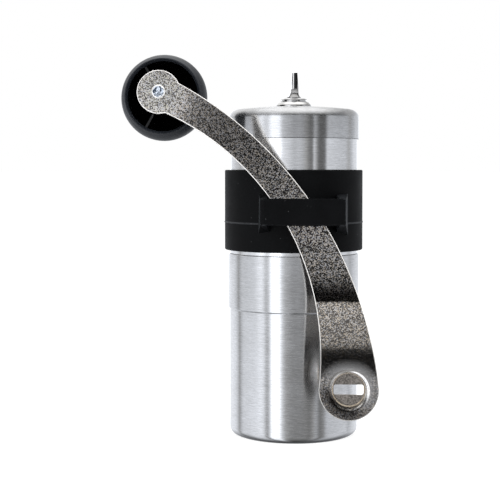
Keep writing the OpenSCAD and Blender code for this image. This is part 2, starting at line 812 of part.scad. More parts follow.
module crank_arm() {
    floor_front = arm_step - pocket_depth;
    floor_back = floor_front - arm_t + 0.2;
    boss_outer = pocket_r + pocket_wall;
    mouth_round = 1.7;
    color(nickel)
    at_arm()
    difference() {
        union() {
            intersection() {
                translate([0, 0, -2 * arm_step]) linear_extrude(height = 4 * arm_step) arm_outline();
                at_hub()
                    rotate([90, 0, 90])
                        linear_extrude(height = 4 * arm_reach, center = true) plate_profile();
            }
            at_hub()
            rotate_extrude()
            polygon(concat(
                [[0, floor_back]],
                arc([boss_outer - 1, floor_back + 1], 1, -90, 0, 4),
                [[boss_outer, arm_step - arm_t - 0.5], [boss_outer + 0.5, arm_step - arm_t],
                 [boss_outer + 0.5, arm_step - arm_t / 2], [0, arm_step - arm_t / 2]]));
        }
        at_hub()
        rotate_extrude()
        polygon(concat(
            [[0, floor_front], [pocket_r - 0.3, floor_front], [pocket_r, floor_front + 0.3]],
            arc([pocket_r + mouth_round, arm_step - mouth_round], mouth_round, 180, 90, 6),
            [[pocket_r + mouth_round, arm_step + 1], [0, arm_step + 1]]));
        at_hub()
            translate([0, 0, floor_back - 1])
                linear_extrude(height = 4 * pocket_depth) slot_hole(slot_len, slot_w, slot_corner);
        translate([knob_at[0], knob_at[1], -arm_t - 1]) cylinder(r = shank_r, h = arm_t + 2);
    }
}

// ---------- knob, with depth measured back from the arm's front face ----------

module knob_pin() {
    rivet_r = rivet_d / 2;
    rivet_h = 0.55;
    dimple_r = rivet_r - 0.9;
    color(steel)
    at_knob()
    rotate_extrude($fn = 48)
    polygon([[0, -pin_end], [pin_r - 0.4, -pin_end], [pin_r + 0.4, -pin_end + 0.8],
        [pin_r + 0.4, -pin_end + catch_len], [pin_r, -pin_end + catch_len], [pin_r, -arm_t],
        [shank_r, -arm_t], [shank_r, 0], [rivet_r, 0], [rivet_r, rivet_h * 0.4],
        [rivet_r - 0.35, rivet_h], [dimple_r + 0.15, rivet_h], [dimple_r - 0.1, rivet_h * 0.35],
        [0.35, rivet_h * 0.25], [0, rivet_h * 0.5]]);
}

module knob_washer() {
    color(steel)
    at_knob()
        ring(boss_r - 0.3, pin_r, washer_t, -arm_t - washer_t);
}

function knob_outer() =
    let (belly_r = 8.1,
         belly_at = [knob_r - belly_r, -belly_depth],
         top_angle = acos((lip_r + 0.2 - belly_at[0]) / belly_r),
         dome = dome_depth - belly_depth)
    concat(
        arc(belly_at, belly_r, top_angle, 0, 8),
        [for (i = [1:15]) let (a = 90 * i / 15) [knob_r * cos(a), -belly_depth - dome * sin(a)]]);

module knob_shell() {
    inner_r = knob_r - knob_wall;
    dome = dome_depth - belly_depth - knob_wall;
    rib_front = rim_depth + 2;
    rib_back = belly_depth + dome * 0.75;
    mouth_r = mouth_d / 2;
    chamber_r = pin_r + 0.7;
    outer = knob_outer();
    color(plastic_black)
    at_knob()
    difference() {
        union() {
            rotate_extrude()
            polygon(concat(
                outer,
                [for (i = [15:-1:0]) let (a = 90 * i / 15) [inner_r * cos(a), -belly_depth - dome * sin(a)]],
                [[mouth_r, -rim_depth - 1.5], [mouth_r + 0.15, -rim_depth - 0.8],
                 [lip_r - 0.35, -rim_depth - 0.05], [lip_r, -rim_depth]]));
            translate([0, 0, -belly_depth - dome - eps])
                cylinder(r = boss_r, h = belly_depth + dome - boss_start + eps);
            for (a = rib_angles)
                rotate([0, 0, a])
                    rotate([90, 0, 0])
                        linear_extrude(height = rib_t, center = true)
                            polygon([[boss_r - 0.5, -rib_front], [mouth_r + 0.3, -rib_front],
                                [inner_r + 0.4, -belly_depth], [inner_r * 0.8, -rib_back],
                                [boss_r - 0.5, -rib_back]]);
        }
        translate([0, 0, -pin_end - 0.5]) cylinder(r = pin_r + run_clear, h = pin_end);
        translate([0, 0, -pin_end - 0.5]) cylinder(r = chamber_r, h = catch_len + 0.8);
    }
}

catch_cup();
body_tube();
cap_shell();
cap_bushing();
grip_band();
upper_frame();
upper_bush();
drive_shaft();
burr_housing();
lower_bush();
upper_thrust_washer();
burr_spring();
lower_thrust_washer();
outer_burr();
burr_clamp_ring();
clamp_screws();
burr_carrier();
inner_burr();
click_plate();
adjuster_nut();
crank_arm();
knob_pin();
knob_washer();
knob_shell();
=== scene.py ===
"""The looks of a hand crank coffee grinder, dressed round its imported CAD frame. Metres, +Z up."""

import json
import math

import bmesh
import bpy
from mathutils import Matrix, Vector
from mathutils.bvhtree import BVHTree

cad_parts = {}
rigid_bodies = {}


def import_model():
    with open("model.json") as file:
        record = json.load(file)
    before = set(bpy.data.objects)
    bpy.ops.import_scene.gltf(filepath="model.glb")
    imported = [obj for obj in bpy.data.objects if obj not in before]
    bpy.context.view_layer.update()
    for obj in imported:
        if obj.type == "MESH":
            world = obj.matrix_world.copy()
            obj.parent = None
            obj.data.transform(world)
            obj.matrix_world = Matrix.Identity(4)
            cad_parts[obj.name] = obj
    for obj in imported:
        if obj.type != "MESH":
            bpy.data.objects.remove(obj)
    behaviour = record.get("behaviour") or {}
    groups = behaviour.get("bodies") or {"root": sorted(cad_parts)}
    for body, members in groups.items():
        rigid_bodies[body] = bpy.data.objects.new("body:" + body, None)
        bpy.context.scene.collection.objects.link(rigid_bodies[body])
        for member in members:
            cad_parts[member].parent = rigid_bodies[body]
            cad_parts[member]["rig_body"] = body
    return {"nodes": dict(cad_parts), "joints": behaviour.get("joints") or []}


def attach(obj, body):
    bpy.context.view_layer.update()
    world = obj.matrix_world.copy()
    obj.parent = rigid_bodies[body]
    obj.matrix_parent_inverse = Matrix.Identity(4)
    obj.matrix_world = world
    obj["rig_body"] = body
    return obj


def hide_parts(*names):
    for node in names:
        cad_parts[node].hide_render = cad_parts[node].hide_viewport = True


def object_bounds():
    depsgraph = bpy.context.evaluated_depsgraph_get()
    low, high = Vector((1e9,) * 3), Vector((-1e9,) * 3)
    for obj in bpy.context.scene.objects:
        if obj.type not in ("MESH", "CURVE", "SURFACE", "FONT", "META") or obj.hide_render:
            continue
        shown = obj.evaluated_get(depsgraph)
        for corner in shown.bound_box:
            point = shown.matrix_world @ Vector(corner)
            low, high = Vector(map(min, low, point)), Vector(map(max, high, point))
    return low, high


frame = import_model()
cad_low, cad_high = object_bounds()

MM = 0.001
JOINTS = {joint["name"]: joint for joint in frame["joints"]}
# Out of the arm's face, and along the knob's pin towards its riveted end.
PLATE_FORWARD = Vector(JOINTS["arm_draw"]["axis"])
KNOB_FORWARD = Vector(JOINTS["knob_spin"]["axis"])
KNOB_AT = Vector(JOINTS["knob_spin"]["pos_m"])


# ---------- camera ----------


def add_camera():
    """The camera stands a little left of the grinder's front and looks slightly down."""
    data = bpy.data.cameras.new("camera")
    data.sensor_width = 36
    data.lens = 91.2
    data.shift_y = -0.08
    data.clip_start = 0.01
    camera = bpy.data.objects.new("camera", data)
    camera.location = (-0.04055, -0.467, 0.0971)
    aim = Vector((-0.01615, 0, 0.08246)) - camera.location
    camera.rotation_euler = aim.to_track_quat("-Z", "Y").to_euler()
    bpy.context.scene.collection.objects.link(camera)
    bpy.context.scene.camera = camera


# ---------- node helpers ----------


def add(tree, kind, inputs=None, **settings):
    """A node of that kind. An input is a value, or the socket that feeds it."""
    made = tree.nodes.new(kind)
    for key, value in settings.items():
        setattr(made, key, value)
    for key, value in (inputs or {}).items():
        if isinstance(value, bpy.types.NodeSocket):
            tree.links.new(value, made.inputs[key])
        else:
            made.inputs[key].default_value = value
    return made


def maths(tree, operation, *values):
    """The result of that operation on numbers."""
    return add(tree, "ShaderNodeMath", dict(enumerate(values)), operation=operation).outputs[0]


def vector_maths(tree, operation, *values, output="Vector"):
    """The result of that operation on vectors or colours. output is Value where that is a number."""
    inputs = dict(enumerate(values))
    return add(tree, "ShaderNodeVectorMath", inputs, operation=operation).outputs[output]


def position(tree):
    """The point on the piece, in the row frame at rest."""
    return add(tree, "ShaderNodeTexCoord").outputs["Object"]


def height(tree):
    """How high the point on the piece is, in the row frame at rest."""
    return add(tree, "ShaderNodeSeparateXYZ", {0: position(tree)}).outputs[2]


def stretched(tree, across, up):
    """The point scaled in the plane and along Z, so that a noise on it runs round the grinder."""
    return vector_maths(tree, "MULTIPLY", position(tree), (across, across, up))


def noise(tree, vector, scale, detail, roughness, distortion=0.0):
    """A noise on that vector. Most of it lies between 0.3 and 0.7."""
    inputs = {"Vector": vector, "Scale": scale, "Detail": detail, "Roughness": roughness,
              "Distortion": distortion}
    return add(tree, "ShaderNodeTexNoise", inputs).outputs[0]


def spread(tree, value, low, high, to_low=0.0, to_high=1.0, smooth=False):
    """value from low..high onto to_low..to_high, clamped."""
    inputs = {0: value, 1: low, 2: high, 3: to_low, 4: to_high}
    kind = "SMOOTHSTEP" if smooth else "LINEAR"
    return add(tree, "ShaderNodeMapRange", inputs, interpolation_type=kind).outputs[0]


def blended(tree, share, first, second):
    """Colour first where share is 0 and second where it is 1."""
    mix = add(tree, "ShaderNodeMix", {0: share, 6: first, 7: second}, data_type="RGBA")
    return mix.outputs[2]


def tinted(tree, colour, level):
    """The colour multiplied by a level."""
    return add(tree, "ShaderNodeVectorMath", {0: colour, 3: level}, operation="SCALE").outputs[0]


def ramped(tree, share, stops):
    """The colour at a share of a ramp through stops, each a place from 0 to 1 and a colour."""
    ramp = add(tree, "ShaderNodeValToRGB", {0: share})
    elements = ramp.color_ramp.elements
    while len(elements) < len(stops):
        elements.new(0.5)
    for element, (place, colour) in zip(elements, stops):
        element.position = place
        element.color = colour
    return ramp.outputs[0]


def profile(tree, value, points):
    """A level that follows value through points, each a place in mm and a level."""
    first, last = points[0][0], points[-1][0]
    most = max(level for _, level in points)
    stops = [((place - first) / (last - first), grey(level / most)) for place, level in points]
    return tinted(tree, ramped(tree, spread(tree, value, first * MM, last * MM), stops), most)


def bumped(tree, relief, depth, normal=None):
    """A normal that follows relief, whose full range stands depth metres proud."""
    inputs = {"Height": relief, "Distance": depth, "Strength": 1.0}
    if normal is not None:
        inputs["Normal"] = normal
    return add(tree, "ShaderNodeBump", inputs).outputs[0]


def grey(level, tint=(1, 1, 1)):
    """A colour of that level, tinted."""
    return (level * tint[0], level * tint[1], level * tint[2], 1)


def new_material(name):
    """A new material, its tree and its Principled shader."""
    made = bpy.data.materials.new(name)
    made.use_nodes = True
    return made, made.node_tree, made.node_tree.nodes["Principled BSDF"]


def wired(tree, shader, colour, roughness, normal, metallic=0.0):
    """Feeds the shader's colour, roughness and normal, and says how metallic it is."""
    tree.links.new(colour, shader.inputs["Base Color"])
    tree.links.new(roughness, shader.inputs["Roughness"])
    tree.links.new(normal, shader.inputs["Normal"])
    shader.inputs["Metallic"].default_value = metallic


# ---------- materials ----------


def brushed_steel(name, dark, light, roughness, extra_pit=0.0, foot=None, satin=None):
    """Stainless sheet brushed round its axis, from dark to light where it is clouded.

    extra_pit is how much deeper its pits are, in mm. foot is how high a dark line stands round
    the bottom corner, a painted reflection of the floor's contact shadow, and satin the height above
    which the sheet turns satin.
    """
    made, tree, shader = new_material(name)
    hair = noise(tree, stretched(tree, 160, 6000), 1, 2, 0.6)
    streak = noise(tree, stretched(tree, 280, 5000), 1, 2, 0.6)
    pits = noise(tree, stretched(tree, 700, 2600), 1, 3, 0.6)
    cloud = noise(tree, position(tree), 90, 4, 0.6)
    worn = maths(tree, "ADD", maths(tree, "MULTIPLY", pits, 0.5), maths(tree, "MULTIPLY", cloud, 0.5))
    colour = blended(tree, spread(tree, worn, 0.3, 0.7), grey(dark), grey(light, (0.99, 1, 1.02)))
    colour = tinted(tree, colour, spread(tree, streak, 0.3, 0.7, 0.86, 1.10))
    matt = spread(tree, worn, 0.3, 0.7, roughness * 0.85, roughness * 1.2)
    up = height(tree)
    if satin is not None:
        more = spread(tree, up, satin, satin + 1.5 * MM, 0.0, 0.14, smooth=True)
        matt = maths(tree, "ADD", matt, more)
    # Painted shade: a dark line round the bottom corner, for the floor's contact shadow seen in the
    # steel.
    if foot is not None:
        line = spread(tree, up, 0.1 * foot, foot, 0.97, 0.0, smooth=True)
        colour = blended(tree, line, colour, grey(0.012))
    normal = bumped(tree, pits, (0.002 + extra_pit) * MM, bumped(tree, hair, 0.003 * MM))
    wired(tree, shader, colour, matt, normal, 1.0)
    tangent = add(tree, "ShaderNodeTangent", direction_type="RADIAL", axis="Z").outputs[0]
    tree.links.new(tangent, shader.inputs["Tangent"])
    shader.inputs["Anisotropic"].default_value = 0.88
    shader.inputs["Anisotropic Rotation"].default_value = 0.25
    return made


def turned_steel(name, level=0.62, roughness=0.10):
    """Bar stock off the lathe, with fine rings."""
    made, tree, shader = new_material(name)
    rings = noise(tree, stretched(tree, 40, 7000), 1, 2, 0.5)
    stain = noise(tree, position(tree), 500, 3, 0.6)
    stained = grey(level * 0.78, (1.02, 1, 0.97))
    colour = blended(tree, spread(tree, stain, 0.35, 0.7), grey(level), stained)
    matt = spread(tree, stain, 0.3, 0.7, roughness * 0.8, roughness * 1.6)
    wired(tree, shader, colour, matt, bumped(tree, rings, 0.003 * MM), 1.0)
    return made


def pressed_steel(name):
    """The shaft's pressed flat: a painted dark reflection, with a painted highlight streak near its left
    edge.
    """
    made, tree, shader = new_material(name)
    across = add(tree, "ShaderNodeSeparateXYZ", {0: position(tree)}).outputs[0]
    lit = maths(tree, "MULTIPLY", spread(tree, across, -0.85 * MM, -0.65 * MM),
                spread(tree, across, -0.45 * MM, -0.2 * MM, 1.0, 0.0))
    tree.links.new(blended(tree, lit, grey(0.035), grey(0.7)), shader.inputs["Base Color"])
    tree.links.new(spread(tree, lit, 0.0, 1.0, 1.0, 0.3), shader.inputs["Metallic"])
    shader.inputs["Roughness"].default_value = 0.12
    return made


# Distance from the rivet in mm, and how bright the light grains are there: a painted highlight
# round the rivet and painted light along the arm.
PAINTED_ARM_LIGHT = (
    (0, 1.00), (9, 0.95), (15, 0.40), (24, 0.26), (38, 0.29), (60, 0.42), (80, 0.62), (130, 0.64),
)
# Height in mm, and how bright the plate is painted there beside its usual level: painted shade in
# the folds, painted highlights between them.
PAINTED_FOLD_LIGHT = (
    (0, 0.14), (7, 0.21), (17, 0.95), (26, 1.10), (28, 0.42), (30, 0.14), (33, 0.20), (36, 0.80),
    (39, 1.20), (50.8, 1.45), (52.2, 0.40), (54, 0.36), (57, 0.55), (61, 0.80), (66, 1.00),
    (75, 1.00),
)
# Towards the side of the pocket that catches the light: up, and a little to the right.
LIT_SIDE = (0.55, 0, 0.83)


def pocket_shine(tree, colour, pocket):
    """The colour, changed round the pocket: smooth and lit on one side, shaded on the other."""
    offset = vector_maths(tree, "SUBTRACT", position(tree), pocket)
    away = vector_maths(tree, "LENGTH", offset, output="Value")
    side = vector_maths(tree, "DOT_PRODUCT", offset, LIT_SIDE, output="Value")
    smooth = maths(tree, "MULTIPLY", spread(tree, away, 6.5 * MM, 11 * MM, 0.9, 0.0),
                   spread(tree, side, -4 * MM, 2 * MM))
    shade = maths(tree, "MULTIPLY", spread(tree, away, 7 * MM, 11 * MM, 1.0, 0.0, smooth=True),
                  spread(tree, side, -2 * MM, -6 * MM, 0.0, 0.8))
    ring = maths(tree, "MULTIPLY", spread(tree, away, 6 * MM, 7.5 * MM, 1.0, 0.0, smooth=True),
                 spread(tree, side, -3.5 * MM, 2.5 * MM))
    colour = blended(tree, smooth, colour, grey(0.42, (1.02, 1, 0.98)))
    colour = tinted(tree, colour, maths(tree, "SUBTRACT", 1.0, shade))
    return blended(tree, ring, colour, grey(1.0, (1, 0.98, 0.95)))


def speckled_nickel(name, pocket, upper=1.0, metallic=0.94):
    """Nickel over a sand-grained plate: bright and dark grains, brightest round the rivet.

    upper is its level above the band; below the band it is 0.7. pocket is the middle of the drawn
    pocket's mouth. Its brightness round the rivet is a painted highlight, its folds carry painted
    shade and painted highlights, and its dark grains are partly grain, partly a painted dark reflection.
    """
    made, tree, shader = new_material(name)
    cells = add(tree, "ShaderNodeTexVoronoi", {"Vector": position(tree), "Scale": 3400.0})
    spot, hue, _ = add(tree, "ShaderNodeSeparateColor", {0: cells.outputs["Color"]}).outputs
    fine = noise(tree, position(tree), 1500, 2, 0.6)
    grain = maths(tree, "ADD", maths(tree, "MULTIPLY", spot, 0.8), maths(tree, "MULTIPLY", fine, 0.2))
    away = vector_maths(tree, "DISTANCE", position(tree), KNOB_AT, output="Value")
    up = height(tree)
    fold = add(tree, "ShaderNodeSeparateXYZ", {0: profile(tree, up, PAINTED_FOLD_LIGHT)}).outputs[0]
    usual = spread(tree, up, 70 * MM, 90 * MM, 0.7, upper)
    light = tinted(tree, tinted(tree, profile(tree, away, PAINTED_ARM_LIGHT), usual), fold)
    dark_share = maths(tree, "ADD", spread(tree, away, 5 * MM, 40 * MM, 0.16, 0.04),
                       spread(tree, up, 51.5 * MM, 51.9 * MM, 0.16, 0.0))
    # Fewer light grains far from the rivet and where the painted fold shade is dark.
    fewer = maths(tree, "ADD", spread(tree, away, 8 * MM, 35 * MM, 0.0, 0.10),
                  spread(tree, fold, 0.2, 0.8, 0.13, 0.0))
    is_light = spread(tree, maths(tree, "SUBTRACT", grain, fewer), 0.36, 0.58)
    colour = blended(tree, is_light, tinted(tree, light, dark_share), light)
    tone = blended(tree, hue, (1.16, 1, 0.80, 1), (0.98, 1, 1.06, 1))
    colour = pocket_shine(tree, vector_maths(tree, "MULTIPLY", colour, tone), pocket)
    matt = spread(tree, grain, 0.2, 0.8, 0.24, 0.14)
    wired(tree, shader, colour, matt, bumped(tree, grain, 0.004 * MM), metallic)
    return made


def plated_edge(name, level, metallic, roughness, tint=(1, 1, 1), foot=1.0, wear=0.85, scale=700):
    """Smooth plating, as on the plate's sheared edges and the rivet.

    foot is its share of the level near the drive end, and wear that of its worn patches.
    """
    made, tree, shader = new_material(name)
    wave = noise(tree, position(tree), scale, 2, 0.5)
    colour = blended(tree, spread(tree, wave, 0.35, 0.65), grey(level, tint), grey(level * wear, tint))
    colour = tinted(tree, colour, spread(tree, height(tree), 30 * MM, 46 * MM, foot, 1.0, smooth=True))
    matt = spread(tree, wave, 0.3, 0.7, roughness, roughness * 1.4)
    wired(tree, shader, colour, matt, bumped(tree, wave, 0.01 * MM), metallic)
    return made


def swirled_core(name):
    """The rivet's dimple, smeared by the tool that spun it over."""
    made, tree, shader = new_material(name)
    swirl = noise(tree, position(tree), 620, 1, 0.5, distortion=2.5)
    colour = blended(tree, spread(tree, swirl, 0.42, 0.58), (0.05, 0.07, 0.10, 1), (0.80, 0.88, 1.0, 1))
    matt = spread(tree, swirl, 0.3, 0.7, 0.12, 0.3)
    wired(tree, shader, colour, matt, bumped(tree, swirl, 0.12 * MM), 0.6)
    return made


def rubber(name, level=0.0018, gloss=0.08):
    """Black moulded rubber with a matt skin and a few specks of dust."""
    made, tree, shader = new_material(name)
    skin = noise(tree, position(tree), 2600, 3, 0.6)
    bloom = noise(tree, position(tree), 110, 3, 0.6)
    cells = add(tree, "ShaderNodeTexVoronoi", {"Vector": position(tree), "Scale": 900.0})
    speck = maths(tree, "LESS_THAN", cells.outputs["Distance"], 0.12)
    lot = add(tree, "ShaderNodeSeparateColor", {0: cells.outputs["Color"]}).outputs[0]
    dust = maths(tree, "MULTIPLY", speck, maths(tree, "GREATER_THAN", lot, 0.94))
    cool = (0.92, 1, 1.15)
    colour = blended(tree, spread(tree, bloom, 0.35, 0.7), grey(level, cool), grey(level * 1.7, cool))
    colour = blended(tree, maths(tree, "MULTIPLY", dust, 0.35), colour, grey(0.16, (0.98, 1, 1.03)))
    matt = spread(tree, bloom, 0.3, 0.7, 0.52, 0.66)
    wired(tree, shader, colour, matt, bumped(tree, skin, 0.02 * MM))
    shader.inputs["Specular IOR Level"].default_value = gloss
    shader.inputs["Sheen Weight"].default_value = 0.035
    shader.inputs["Sheen Roughness"].default_value = 0.25
    shader.inputs["Sheen Tint"].default_value = grey(1.0, (0.85, 0.95, 1.1))
    return made


def moulded_plastic(name, level, roughness, grain_depth=0.008, tint=(0.97, 1, 1.05)):
    """Moulded plastic: faint flow marks, and a fine skin whose depth is in mm."""
    made, tree, shader = new_material(name)
    flow = noise(tree, position(tree), 90, 3, 0.5)
    skin = noise(tree, position(tree), 3000, 2, 0.5)
    colour = blended(tree, spread(tree, flow, 0.3, 0.7), grey(level, tint), grey(level * 1.35, tint))
    matt = spread(tree, flow, 0.3, 0.7, roughness * 0.9, roughness * 1.15)
    wired(tree, shader, colour, matt, bumped(tree, skin, grain_depth * MM))
    return made


def ceramic(name):
    """Unglazed white ceramic, a little creamy, with fine pores."""
    made, tree, shader = new_material(name)
    pores = noise(tree, position(tree), 2400, 4, 0.65)
    stain = noise(tree, position(tree), 150, 3, 0.5)
    colour = blended(tree, spread(tree, stain, 0.35, 0.7), (0.80, 0.77, 0.70, 1), (0.70, 0.64, 0.54, 1))
    wired(tree, shader, colour, spread(tree, pores, 0.3, 0.7, 0.38, 0.6), bumped(tree, pores, 0.03 * MM))
    return made


def bronze(name):
    """Oiled sintered bronze."""
    made, tree, shader = new_material(name)
    pores = noise(tree, position(tree), 3200, 3, 0.6)
    colour = blended(tree, spread(tree, pores, 0.35, 0.65), (0.55, 0.33, 0.13, 1), (0.34, 0.19, 0.07, 1))
    matt = spread(tree, pores, 0.3, 0.7, 0.28, 0.45)
    wired(tree, shader, colour, matt, bumped(tree, pores, 0.02 * MM), 1.0)
    return made


# ---------- pieces ----------


def welded(node):
    """A CAD node's mesh as a closed bmesh, its flat areas joined into single faces."""
    work = bmesh.new()
    work.from_mesh(frame["nodes"][node].data)
    bmesh.ops.remove_doubles(work, verts=work.verts, dist=1e-7)
    flat = math.radians(0.4)
    bmesh.ops.dissolve_limit(work, angle_limit=flat, verts=work.verts, edges=work.edges)
    return work


def soft_edges(work, width, angle=28, chosen=None, clamp=True):
    """Rounds every chosen edge that turns by more than angle degrees, and gives the new faces."""
    edges = [e for e in work.edges if e.is_manifold and e.calc_face_angle(0) > math.radians(angle)
             and (chosen is None or chosen(e))]
    made = bmesh.ops.bevel(
        work, geom=edges, offset=width, offset_type="OFFSET", segments=2, profile=0.5,
        affect="EDGES", clamp_overlap=clamp)
    work.normal_update()
    return made["faces"]


def kept_inside(work, node, deepest):
    """Puts back onto the node's surface each vertex that the rounding threw off it.

    A rounded edge lies under the surface, and nowhere deeper than deepest.
    """
    solid = welded(node)
    surface = BVHTree.FromBMesh(solid)
    solid.free()
    for vertex in work.verts:
        place, normal, _, away = surface.find_nearest(vertex.co)
        outside = away > 0.002 * MM and (vertex.co - place).dot(normal) > 0
        if outside or away > deepest:
            vertex.co = place
    work.normal_update()


def finished(work, name, node, materials):
    """Makes the bmesh a named piece that stands for a CAD node and rides on its body."""
    mesh = bpy.data.meshes.new(name)
    work.to_mesh(mesh)
    work.free()
    for extra in ("custom_normal", "sharp_face"):
        if extra in mesh.attributes:
            mesh.attributes.remove(mesh.attributes[extra])
    for face in mesh.polygons:
        face.use_smooth = True
    mesh.set_sharp_from_angle(angle=math.radians(40))
    for material in materials:
        mesh.materials.append(material)
    piece = bpy.data.objects.new(name, mesh)
    bpy.context.scene.collection.objects.link(piece)
    weighted = piece.modifiers.new("even_normals", "WEIGHTED_NORMAL")
    weighted.keep_sharp = True
    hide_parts(node)
    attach(piece, frame["nodes"][node]["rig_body"])


def dressed(node, name, materials, width):
    """A CAD node with its edges eased, as a piece. The last material goes on the eased edges."""
    work = welded(node)
    for face in soft_edges(work, width):
        face.material_index = len(materials) - 1
    finished(work, name, node, materials)


def split_along(offset, axis):
    """How far offset reaches along the axis, and the rest of it, which is square to the axis."""
    ahead = offset.dot(axis)
    return ahead, offset - axis * ahead


def drawn_pocket():
    """The middle of the drawn pocket's mouth, level with the plate's face, its depth and radius.

    It is looked for below drive_end, because the arm's head has faces that look the same way.
    """
    mesh = frame["nodes"]["crank_arm"].data
    drive_end = min(vertex.co.z for vertex in mesh.vertices) + 18 * MM
    ahead = [face for face in mesh.polygons if face.normal.dot(PLATE_FORWARD) > 0.99
             and all(mesh.vertices[index].co.z < drive_end for index in face.vertices)]
    lowest = min(face.center.dot(PLATE_FORWARD) for face in ahead)
    corners = {index for face in ahead for index in face.vertices
               if face.center.dot(PLATE_FORWARD) < lowest + 0.1 * MM}
    middle = sum((mesh.vertices[index].co for index in corners), Vector()) / len(corners)
    radius = max((mesh.vertices[index].co - middle).length for index in corners)
    depth = max((vertex.co - middle).dot(PLATE_FORWARD)
                for vertex in mesh.vertices if vertex.co.z < drive_end)
    return middle + PLATE_FORWARD * depth, depth, radius


def crank_arm(front, back, edge, pocket_wall, pocket_floor, mouth, depth, radius):
    """The plate with a rounded rim, and a material for each side, for the rim and for the pocket.

    mouth, depth and radius are the pocket's. Inside bend_r the plate bends into it and has no rim.
    """
    rim_round, rim_turn, rim_depth = 0.28 * MM, 35, 0.12 * MM
    bend_r = radius + 2 * MM

    def from_pocket(point):
        return split_along(point - mouth, PLATE_FORWARD)[1].length

    work = welded("crank_arm")
    rim = set(soft_edges(
        work, rim_round, rim_turn, lambda e: from_pocket(e.verts[0].co) > bend_r, clamp=False))
    kept_inside(work, "crank_arm", rim_depth)
    for face in work.faces:
        facing = face.normal.dot(PLATE_FORWARD)
        middle = face.calc_center_median()
        away, sunk = from_pocket(middle), (mouth - middle).dot(PLATE_FORWARD)
        in_pocket = away < radius + 0.25 * MM and facing > -0.5 and sunk > 0.3 * depth
        on_edge = face in rim and abs(facing) < 0.985 or abs(facing) < 0.93
        if in_pocket:
            face.material_index = 4 if facing > 0.93 else 3
        elif on_edge and away >= bend_r:
            face.material_index = 2
        else:
            face.material_index = 0 if facing > 0 else 1
    materials = [front, back, edge, pocket_wall, pocket_floor]
    finished(work, "arm", "crank_arm", materials)


def rivet(rim, core, core_r):
    """The pin, with a dimple of radius core_r that the riveting tool has marked."""
    work = welded("knob_pin")
    soft_edges(work, 0.06 * MM)
    front = max((vertex.co - KNOB_AT).dot(KNOB_FORWARD) for vertex in work.verts)
    for face in work.faces:
        ahead, square = split_along(face.calc_center_median() - KNOB_AT, KNOB_FORWARD)
        at_front = ahead > front - 1 * MM and face.normal.dot(KNOB_FORWARD) > 0
        face.material_index = 1 if at_front and square.length < core_r else 0
    finished(work, "rivet", "knob_pin", [rim, core])


def knob(satin, gloss, mouth_r, lip):
    """The knob's shell: satin outside and on its lip, and glossy in the bowl behind its mouth.

    lip is how far back from the front the satin reaches inside.
    """
    work = welded("knob_shell")
    places = [split_along(vertex.co - KNOB_AT, KNOB_FORWARD) for vertex in work.verts]
    front = max(ahead for ahead, square in places if square.length > mouth_r)
    soft_edges(work, 0.12 * MM)
    for face in work.faces:
        ahead, square = split_along(face.calc_center_median() - KNOB_AT, KNOB_FORWARD)
        in_bowl = square.length < mouth_r and face.normal.dot(KNOB_FORWARD) > -0.25
        behind_lip = face.normal.dot(square.normalized()) < -0.05 and ahead < front - lip
        face.material_index = 1 if in_bowl or behind_lip else 0
    finished(work, "knob", "knob_shell", [satin, gloss])


def drive_shaft(bar, flat, flat_h):
    """The shaft, with the pressed flat, flat_h tall at its tip, painted darker than the turned bar as a
    dark reflection.
    """
    work = welded("drive_shaft")
    soft_edges(work, 0.12 * MM)
    top = max(vertex.co.z for vertex in work.verts)
    for face in work.faces:
        at_tip = face.calc_center_median().z > top - flat_h and face.normal.z < 0.6
        on_flat = face.normal.y < -0.2 and face.normal.x > -0.75
        face.material_index = 1 if at_tip and on_flat else 0
    finished(work, "shaft", "drive_shaft", [bar, flat])


def grip_band(skin, edge_highlight, ridge_up):
    """The rubber band. Its moulded edges and parting ridge are painted a little lighter, as painted
    highlights.

    ridge_up is how high the ridge runs above the band's foot. Only its own faces are that small.
    """
    work = welded("grip_band")
    eased = set(soft_edges(work, 0.2 * MM))
    ridge_z = min(vertex.co.z for vertex in work.verts) + ridge_up
    for face in work.faces:
        is_small = face.calc_area() < 4 * MM ** 2
        on_ridge = is_small and abs(face.calc_center_median().z - ridge_z) < 0.25 * MM
        face.material_index = 1 if face in eased or on_ridge else 0
    finished(work, "band", "grip_band", [skin, edge_highlight])


# ---------- studio ----------

# Azimuth round the grinder in degrees, from the front towards its right, and the brightness there.
# The cup and the band's edges see the low cards, the cap and the upper tube the high ones.
LOW_CARDS = (
    (-180, 1.00), (-150, 1.20), (-135, 1.20), (-126, 0.95), (-119, 0.44), (-114, 0.80),
    (-107, 1.12), (-90, 1.20), (-76, 1.22), (-66, 1.30), (-60, 1.15), (-54, 0.42),
    (-49, 0.70), (-44, 2.20), (-30, 2.20), (-25, 1.05), (-19, 0.50), (-10, 0.35),
    (0, 0.31), (17, 0.32), (24, 0.28), (31, 0.46), (37, 0.60), (43, 0.26),
    (50, 0.36), (57, 0.80), (66, 0.86), (90, 0.92), (104, 0.96), (113, 0.74),
    (128, 1.05), (180, 1.00),
)
HIGH_CARDS = (
    (-180, 2.00), (-155, 0.90), (-118, 0.50), (-96, 0.60), (-78, 0.80), (-64, 1.85),
    (-56, 1.50), (-49, 1.75), (-44, 2.20), (-30, 2.00), (-25, 1.10), (-18, 1.05),
    (-12, 0.95), (-4, 0.74), (4, 0.82), (11, 0.66), (17, 0.50), (22, 0.26),
    (29, 0.11), (32, 0.95), (36, 0.40), (40, 0.12), (53, 0.10), (58, 0.84),
    (66, 0.76), (84, 0.66), (102, 0.60), (113, 0.42), (122, 0.54), (134, 0.85),
    (155, 0.90), (180, 2.00),
)
BRIGHTEST = 2.2


def card_ring(tree, turn, cards):
    """The cards' light at that turn, as a share of the brightest. Bright ones are a little cold."""
    cold = (0.96, 0.985, 1.035)
    stops = [(azimuth / 360 + 0.5, grey(level / BRIGHTEST, cold if level > 0.5 else (1, 1, 1)))
             for azimuth, level in cards]
    return ramped(tree, spread(tree, turn, -math.pi, math.pi), stops)


